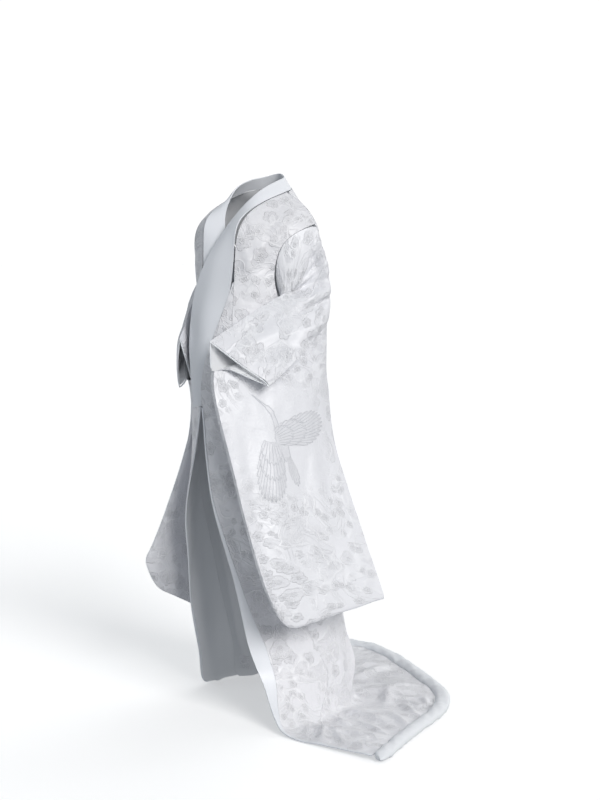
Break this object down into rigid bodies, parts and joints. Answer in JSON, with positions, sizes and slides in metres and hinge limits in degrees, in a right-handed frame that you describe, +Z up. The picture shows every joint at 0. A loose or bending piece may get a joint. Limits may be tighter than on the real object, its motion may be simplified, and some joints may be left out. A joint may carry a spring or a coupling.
{
  "type": "kimono",
  "caption": "Formal East Asian robe in worn form: crossed plain collar, long hanging sleeves, open front, trailing skirt and a padded hem roll.",
  "frame": {"origin": "the place at the nape where the wearer's shoulders hold the robe, on the wearer's own axis, 1.36 m above the floor", "axes": "+Z up, -Y the way the wearer faces, +X to the wearer's left"},
  "size_m": [0.989, 0.9118, 1.395],
  "materials": {
    "brocade": "white figured satin brocade",
    "plain_satin": "plain white satin"
  },
  "bodies": {
    "root": {"back_left": "brocade", "back_right": "brocade", "front_left": "brocade", "front_right": "brocade", "okumi_left": "brocade", "okumi_right": "brocade", "sleeve_left": "brocade", "sleeve_right": "brocade", "collar": "plain_satin", "front_edging_left": "plain_satin", "front_edging_right": "plain_satin", "sleeve_edging_left": "plain_satin", "sleeve_edging_right": "plain_satin", "hem_roll": "plain_satin"}
  },
  "joints": []
}
